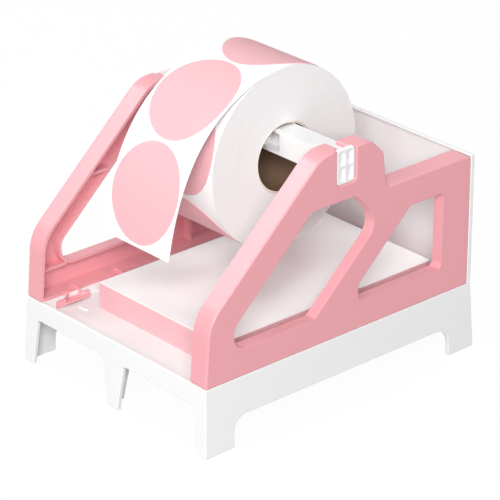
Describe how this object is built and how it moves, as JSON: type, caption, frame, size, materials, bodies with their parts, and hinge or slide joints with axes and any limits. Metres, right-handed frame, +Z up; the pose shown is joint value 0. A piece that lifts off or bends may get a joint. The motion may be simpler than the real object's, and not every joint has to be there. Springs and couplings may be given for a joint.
{
  "type": "label roll holder",
  "caption": "Desk-top label holder: a footed tray for fan-fold labels, windowed side frames, a rear wall and a lift-out spindle carrying a roll of round labels.",
  "frame": {"origin": "centre of the bounding box on the floor, under the middle of the tray", "axes": "+X to the user's right along the spindle, +Y from the open front to the rear wall, +Z up"},
  "size_m": [0.1526, 0.1964, 0.1771],
  "materials": {
    "white_moulding": "fine satin",
    "pink_moulding": "fine satin",
    "core_card": "matte",
    "liner_paper": "smooth",
    "label_paper": "smooth",
    "stack_paper": "matte"
  },
  "bodies": {
    "holder": {"base_tray": "white_moulding", "left_side_frame": "pink_moulding", "right_side_frame": "pink_moulding", "rear_wall": "white_moulding"},
    "spindle": {"spindle_bar": "white_moulding", "leader_web": "liner_paper", "leader_label_upper": "label_paper", "leader_label_lower": "label_paper"},
    "roll": {"roll_core": "core_card", "label_roll": "liner_paper", "roll_label_top": "label_paper", "roll_label_rear": "label_paper", "roll_labels_under": "label_paper", "roll_label_front": "label_paper"},
    "stack": {"fanfold_stack": "stack_paper"},
    "leaf": {"fanfold_top_leaf": "liner_paper"}
  },
  "joints": [
    {"name": "spindle_lift", "type": "slide", "parent": "holder", "child": "spindle", "axis": [0, 0, 1], "range_m": [0, 0.06]},
    {"name": "roll_spin", "type": "hinge", "parent": "spindle", "child": "roll", "pos_m": [0, 0.001, 0.12579], "axis": [1, 0, 0], "continuous": true},
    {"name": "stack_lift", "type": "slide", "parent": "holder", "child": "stack", "axis": [0, 0, 1], "range_m": [0, 0.02]},
    {"name": "top_leaf_pull", "type": "slide", "parent": "stack", "child": "leaf", "axis": [0, -1, 0], "range_m": [0, 0.152]}
  ]
}
